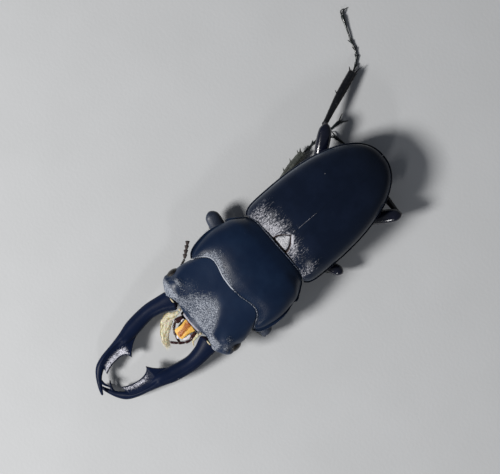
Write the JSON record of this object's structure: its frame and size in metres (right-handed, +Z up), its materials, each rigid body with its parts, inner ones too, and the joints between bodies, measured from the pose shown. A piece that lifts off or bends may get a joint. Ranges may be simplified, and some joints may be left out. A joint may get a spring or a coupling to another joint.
{
  "type": "stag beetle",
  "caption": "Life-size still model of a male stag beetle standing with its feet drawn in, long toothed jaws closed at the tips, and one hind leg stretched out behind",
  "frame": {"origin": "centre of the bounding box on the floor, under the body", "axes": "+Y runs from the jaws to the tail, so the beetle faces -Y; +X is the beetle's left; +Z is up, and the floor it stands on is z = 0"},
  "size_m": [0.0392, 0.084, 0.0114],
  "materials": {
    "wing_case": "satin blue-black shell, fine points, thin raised rim",
    "underside": "satin black shell",
    "pronotum_shell": "satin blue-black shell with a beaded edge",
    "head_shell": "dull blue-black shell, finely grained",
    "jaw": "polished blue-black shell",
    "eye": "glossy dark brown, faceted",
    "lip": "dark brown with a pale pinkish edge",
    "tongue": "moist orange",
    "brush": "dense pale straw hairs",
    "palp": "glossy dark brown",
    "antenna": "glossy black-brown",
    "antenna_club": "dull grey-brown with fine down",
    "leg": "polished black",
    "shin": "polished black with lengthwise grooves",
    "foot": "glossy black-brown"
  },
  "bodies": {
    "root": {"elytron_left": "wing_case", "elytron_right": "wing_case", "scutellum": "wing_case", "metathorax": "underside", "abdomen": "underside", "prothorax": "pronotum_shell", "head": "head_shell", "mentum": "head_shell", "mandible_left": "jaw", "mandible_right": "jaw", "eye_left": "eye", "eye_right": "eye", "labrum": "lip", "tongue": "tongue", "galea_left": "brush", "galea_right": "brush", "palp_maxillary_left": "palp", "palp_maxillary_right": "palp", "palp_labial_left": "palp", "palp_labial_right": "palp", "antenna_scape_left": "antenna", "antenna_scape_right": "antenna", "antenna_funicle_left": "antenna", "antenna_funicle_right": "antenna", "antenna_club_left": "antenna_club", "antenna_club_right": "antenna_club", "coxa_front_left": "leg", "coxa_front_right": "leg", "coxa_middle_left": "leg", "coxa_middle_right": "leg", "coxa_hind_left": "leg", "coxa_hind_right": "leg", "femur_front_left": "leg", "femur_front_right": "leg", "femur_middle_left": "leg", "femur_middle_right": "leg", "femur_hind_left": "leg", "femur_hind_right": "leg", "tibia_front_left": "shin", "tibia_front_right": "shin", "tibia_middle_left": "shin", "tibia_middle_right": "shin", "tibia_hind_left": "shin", "tibia_hind_right": "shin", "tarsus_front_left": "foot", "tarsus_front_right": "foot", "tarsus_middle_left": "foot", "tarsus_middle_right": "foot", "tarsus_hind_left": "foot", "tarsus_hind_right": "foot"}
  },
  "joints": []
}
